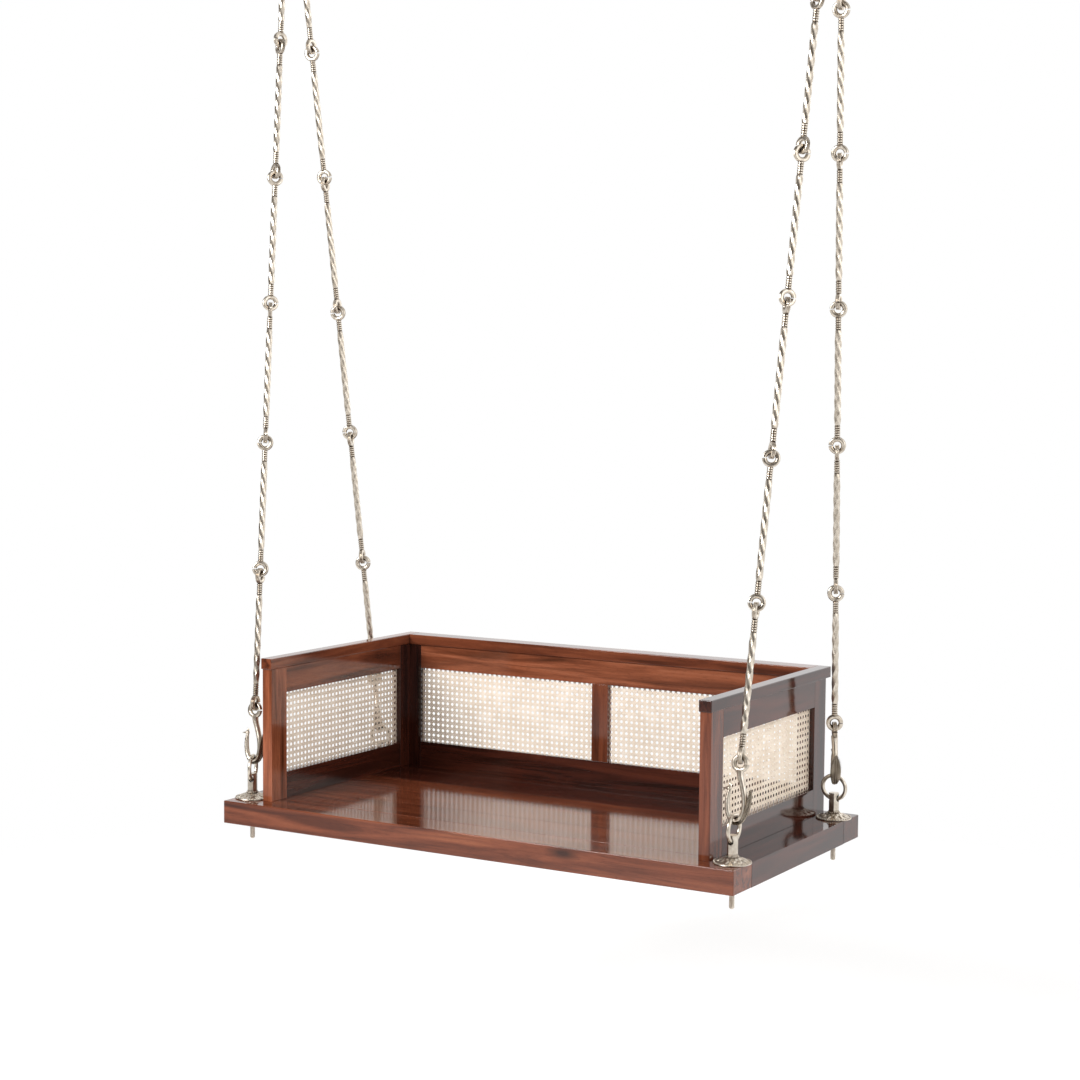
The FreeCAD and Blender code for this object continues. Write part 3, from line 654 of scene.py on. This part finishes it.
def makeHooks():
    hook, feathers = makeHook()
    groups = []
    for corner, line in lines.items():
        places = [onChain(line, 2 * hanging["ringRadius"], line["hookTurn"])]
        groups.append((corner, corner.split("_")[1], places, f"seat_hook_{corner}"))
    for side in ("left", "right"):
        places = [onChain(line, line["length"], 0, flipped=True) for corner, line in lines.items()
                  if corner.endswith(side)]
        groups.append((f"top_{side}", side, places, f"top_hooks_{side}"))
    for name, side, places, node in groups:
        for title, pattern, material in (("birdHook", hook, nickel), ("plumage", feathers, chasedNickel)):
            bm = bmesh.new()
            for place in places:
                addCopy(bm, pattern, place)
            piece = finishPiece(bm, f"{title}_{name}", material, f"{side}_chains", smooth=50)
            if pattern is hook:
                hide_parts(node)


makeHooks()
print("hooks made")

flangeShape = {  # millimetres
    "outline": ((0, 0), (36.2, 0), (37, 0.9), (36.4, 2.0), (33, 2.8), (27, 4.6), (20, 7.4), (14, 10.2),
                (11.5, 12), (0, 12)),
    # each row's count, its offset in petals, radius, height, drop to the tip, and a petal's size
    "petals": ((12, 0.0, 17.5, 7.6, 3.6, (4.4, 8.6, 14.5)),
               (12, 0.5, 12.0, 10.6, 5.5, (4.0, 6.2, 11.5))),
    "petalDive": 1.25,  # the petals slope more than the dome, so that their tips sink into it
    "beads": ((36, 34.8, 2.2, 1.9), (18, 11.4, 12.6, 1.7)),  # count, radius, height and size, rim then collar
}


def makeFlange():
    # a low dome, two rows of raised petals that overlap by half a petal, a beaded rim and a beaded collar
    bm = bmesh.new()
    addSpun(bm, flangeShape["outline"], "Z", 2 * math.pi, sides["dome"])
    for count, offset, radius, height, drop, size in flangeShape["petals"]:
        slope = flangeShape["petalDive"] * drop / size[2]
        for number in range(count):
            a = 2 * math.pi * (number + offset) / count
            out = Vector((math.cos(a), math.sin(a), 0))
            addLeaf(bm, out * radius + Vector((0, 0, height)), (0, 0, 1), out - Vector((0, 0, slope)), size)
    for count, radius, height, size in flangeShape["beads"]:
        for number in range(count):
            a = 2 * math.pi * number / count
            spot = Matrix.Translation((radius * math.cos(a), radius * math.sin(a), height))
            bead(bm, spot, (size, size, size))
    return asPattern(bm, "lotusFlange")


threadShape = {  # millimetres
    "radius": 5.0,
    "sink": 0.05,  # how far the ridge's foot lies inside the stud
    "depth": 0.4,
    "pitch": 1.5,
    "halfFoot": 0.42,  # half the ridge's width, as a share of the pitch
    "top": -60.0,
    "turns": 17,
    "steps": 16,  # in one turn
}


def makeThread():
    # a rolled thread: a small ridge wound down the stud below its nut
    bm = bmesh.new()
    radius, pitch = threadShape["radius"] - threadShape["sink"], threadShape["pitch"]
    foot = pitch * threadShape["halfFoot"]
    points = ((radius, -foot), (radius + threadShape["depth"], 0), (radius, foot))
    verts = [bm.verts.new((across, 0, threadShape["top"] + height)) for across, height in points]
    edges = [bm.edges.new(pair) for pair in zip(verts, verts[1:] + verts[:1])]
    turns, steps = threadShape["turns"], threadShape["steps"]
    bmesh.ops.spin(bm, geom=verts + edges, cent=(0, 0, 0), axis=(0, 0, 1), dvec=(0, 0, -pitch / steps),
                   angle=2 * math.pi * turns, steps=turns * steps)
    bmesh.ops.holes_fill(bm, edges=[e for e in bm.edges if e.is_boundary], sides=0)
    return asPattern(bm, "thread")


def makeSeatFittings():
    flange, thread = makeFlange(), makeThread()
    flanges, threads = bmesh.new(), bmesh.new()
    for line in lines.values():
        spot = Matrix.Translation((line["foot"].x, line["foot"].y, seatTop)) @ Matrix.Scale(mm, 4)
        addCopy(flanges, flange, spot)
        addCopy(threads, thread, spot)
    piece = finishPiece(flanges, "lotusFlanges", nickel, "seat")
    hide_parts("lotus_flanges")
    finishPiece(threads, "studThreads", nickel, "seat", smooth=30)


makeSeatFittings()
print("seat fittings made")

weave = {  # millimetres
    "pitch": 12.7,  # half-inch cane mesh, hole to hole
    "strand": 2.3,
    "pair": 1.6,  # each strand of a pair, from the pair's middle line
    "thick": 0.35,
    "coupleWave": 0.4,  # how far a strand rises over or under what it crosses
    "crossWave": 0.6,
    "samples": 6,  # straight pieces in one wave
}


def addStrand(bm, length, wave, period, turn, spot):
    # a flat strand along X, turned in its plane, moved to its middle, then waved up and down
    pieces = max(2, round(length / period * weave["samples"])) if wave else 1
    verts = bmesh.ops.create_grid(bm, x_segments=pieces, y_segments=1, size=0.5)["verts"]
    turning = Matrix.Rotation(turn, 3, "Z")
    for vert in verts:
        place = turning @ Vector((vert.co.x * length, vert.co.y * weave["strand"], 0)) + Vector(spot)
        vert.co = place
        vert.co.z = wave(place) if wave else 0


def makeCane(width, height):
    # octagonal cane: upright and level pairs, and two slanting sets that cross midway between the pairs
    bm = bmesh.new()
    pitch, pair = weave["pitch"], weave["pair"]
    cycle = 2 * math.pi / pitch
    columns, rows = math.ceil(width / pitch / 2) + 1, math.ceil(height / pitch / 2) + 1
    reach, slant = columns + rows, math.sqrt(2)
    for side in (-1, 1):
        rise, dip = side * weave["coupleWave"], -side * weave["crossWave"]
        for column in range(-columns, columns + 1):
            addStrand(bm, height + pitch, lambda p: rise * (math.cos(cycle * p.y) + 1) / 2, pitch,
                      math.pi / 2, (column * pitch + side * pair, 0, 0))
        for row in range(-rows, rows + 1):
            addStrand(bm, width + pitch, None, pitch, 0, (0, row * pitch + side * pair, 0))
        for number in range(-reach, reach):
            addStrand(bm, (height + pitch) * slant, lambda p: dip * math.cos(cycle * p.x), pitch * slant,
                      side * math.pi / 4, ((number + 0.5) * pitch, 0, 0))
    for x, y, nx, ny in ((width / 2, 0, 1, 0), (-width / 2, 0, -1, 0), (0, height / 2, 0, 1),
                         (0, -height / 2, 0, -1)):
        bmesh.ops.bisect_plane(bm, geom=[*bm.verts, *bm.edges, *bm.faces], plane_co=(x, y, 0),
                               plane_no=(nx, ny, 0), clear_outer=True)
    bmesh.ops.translate(bm, vec=(0, 0, -weave["thick"] / 2), verts=bm.verts)
    bmesh.ops.solidify(bm, geom=bm.faces, thickness=-weave["thick"])
    return bm


def makeCanes():
    for name in ("left_cane", "right_cane", "back_left_cane", "back_right_cane"):
        low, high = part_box(name)
        size, middle = (high - low) / mm, (high + low) / 2
        sideways = size.x < size.y
        bm = makeCane(size.y if sideways else size.x, size.z)
        turn = Matrix.Rotation(math.pi / 2, 4, "X")
        if sideways:
            turn = Matrix.Rotation(math.pi / 2, 4, "Z") @ turn
        spot = Matrix.Translation(middle) @ turn @ Matrix.Scale(mm, 4)
        bmesh.ops.transform(bm, matrix=spot, verts=bm.verts)
        piece = finishPiece(bm, "woven_" + name, cane, "seat", smooth=20)
        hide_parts(name)


makeCanes()
print("cane woven")

studio = {  # metres and watts
    "floorBelowSeat": 0.45,
    "floorSize": 6,
    "floorFade": (1.2, 2.4),  # the paper fades into the white surroundings between these distances
    "paperGlow": 0.12,  # light that the paper gives off, which keeps its shadows pale
    "aimAboveSeat": 0.1,  # where the soft boxes point
    "key": ((-1.9, -4.5, 0.35), 2.0, 330),  # place, size and power of each soft box
    "side": ((3.6, -1.2, -1.0), 2.0, 22),
    "back": ((1.5, 3.8, -0.4), 2.4, 25),
    "dimSide": (-0.42, -0.9, 0.1),  # direction of the dim part of the room
    "floorSlope": (-0.12, -0.18),  # below the horizon the room turns bright again between these slopes
    "backGlow": 1.2,  # brightness of the wall behind the swing, where white is 1
}


def makeFloor():
    # matt white paper under the swing
    bm = bmesh.new()
    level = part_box("seat_front_rail")[0].z - studio["floorBelowSeat"]
    bmesh.ops.create_grid(bm, x_segments=1, y_segments=1, size=studio["floorSize"] / 2,
                          matrix=Matrix.Translation((0, 0, level)))
    mesh = bpy.data.meshes.new("floor")
    bm.to_mesh(mesh)
    bm.free()
    floor = bpy.data.objects.new("floor", mesh)
    bpy.context.scene.collection.objects.link(floor)
    material, tree, place = newMaterial("mattWhitePaper")
    fleck = addNode(tree, "TexNoise", {"Vector": place, "Scale": 3})
    shade = addNode(tree, "ValToRGB", {"Fac": fleck.outputs["Fac"]}, stops=[(0, "#f8f8f8"), (1, "#fdfdfd")])
    paper = addNode(tree, "BsdfPrincipled", {"Base Color": shade.outputs["Color"], "Roughness": 0.9,
                                             "Emission Color": (1, 1, 1, 1),
                                             "Emission Strength": studio["paperGlow"]})
    flat = addNode(tree, "VectorMath", {0: place, 1: (1, 1, 0)}, operation="MULTIPLY").outputs[0]
    away = addNode(tree, "VectorMath", {0: flat}, operation="LENGTH").outputs["Value"]
    near, far = studio["floorFade"]
    fade = addNode(tree, "MapRange", {"Value": away, "From Min": near, "From Max": far},
                   interpolation_type="SMOOTHSTEP").outputs[0]
    nothing = addNode(tree, "BsdfTransparent")
    both = addNode(tree, "MixShader", {0: fade, 1: paper.outputs[0], 2: nothing.outputs[0]})
    output = addNode(tree, "OutputMaterial")
    tree.links.new(both.outputs[0], output.inputs["Surface"])
    mesh.materials.append(material)


def makeLights():
    target = Vector((0, 0, seatTop + studio["aimAboveSeat"]))
    for name in ("key", "side", "back"):
        place, size, power = studio[name]
        data = bpy.data.lights.new(name, "AREA")
        data.shape, data.size, data.energy = "SQUARE", size, power
        light = bpy.data.objects.new(name, data)
        bpy.context.scene.collection.objects.link(light)
        light.location = place
        light.rotation_euler = (target - Vector(place)).to_track_quat("-Z", "Y").to_euler()


def makeWorld():
    # seen directly it is white; mirrored it is dim and uneven at the front left, bright paper below that,
    # white to the sides and brighter than white behind
    world = bpy.data.worlds.new("softWhite")
    world.use_nodes = True
    bpy.context.scene.world = world
    tree = world.node_tree
    tree.nodes.clear()
    around = addNode(tree, "TexCoord").outputs["Generated"]
    facing = addNode(tree, "VectorMath", {0: around, 1: studio["dimSide"]}, operation="DOT_PRODUCT")
    stretched = addNode(tree, "Mapping", {"Vector": around, "Scale": (2.6, 2.6, 0.7)}).outputs[0]
    patches = addNode(tree, "TexNoise", {"Vector": stretched, "Scale": 1.6, "Detail": 1})
    ragged = addNode(tree, "Math", {0: facing.outputs["Value"], 1: patches.outputs["Fac"]}, operation="ADD")
    slope = addNode(tree, "SeparateXYZ", {0: around}).outputs["Z"]
    near, far = studio["floorSlope"]
    lit = addNode(tree, "MapRange", {"Value": slope, "From Min": near, "From Max": far, "To Max": 0.8})
    dimmed = addNode(tree, "Math", {0: ragged.outputs[0], 1: lit.outputs[0]}, operation="SUBTRACT")
    tones = addNode(tree, "ValToRGB", {"Fac": dimmed.outputs[0]},
                    stops=[(0.75, "#ffffff"), (1.05, "#8f8983"), (1.3, "#45403b")])
    glow = addNode(tree, "MapRange", {"Value": facing.outputs["Value"], "From Min": -0.1, "From Max": -0.8,
                                      "To Min": 1.0, "To Max": studio["backGlow"]})
    soft = addNode(tree, "Background", {"Color": tones.outputs["Color"], "Strength": glow.outputs[0]})
    plain = addNode(tree, "Background", {"Color": (1, 1, 1, 1), "Strength": 1.0})
    seen = addNode(tree, "LightPath").outputs["Is Camera Ray"]
    both = addNode(tree, "MixShader", {0: seen, 1: soft.outputs[0], 2: plain.outputs[0]})
    output = addNode(tree, "OutputWorld")
    tree.links.new(both.outputs[0], output.inputs["Surface"])


makeFloor()
makeLights()
makeWorld()
bpy.context.scene.view_settings.view_transform = "Standard"
print("studio set")
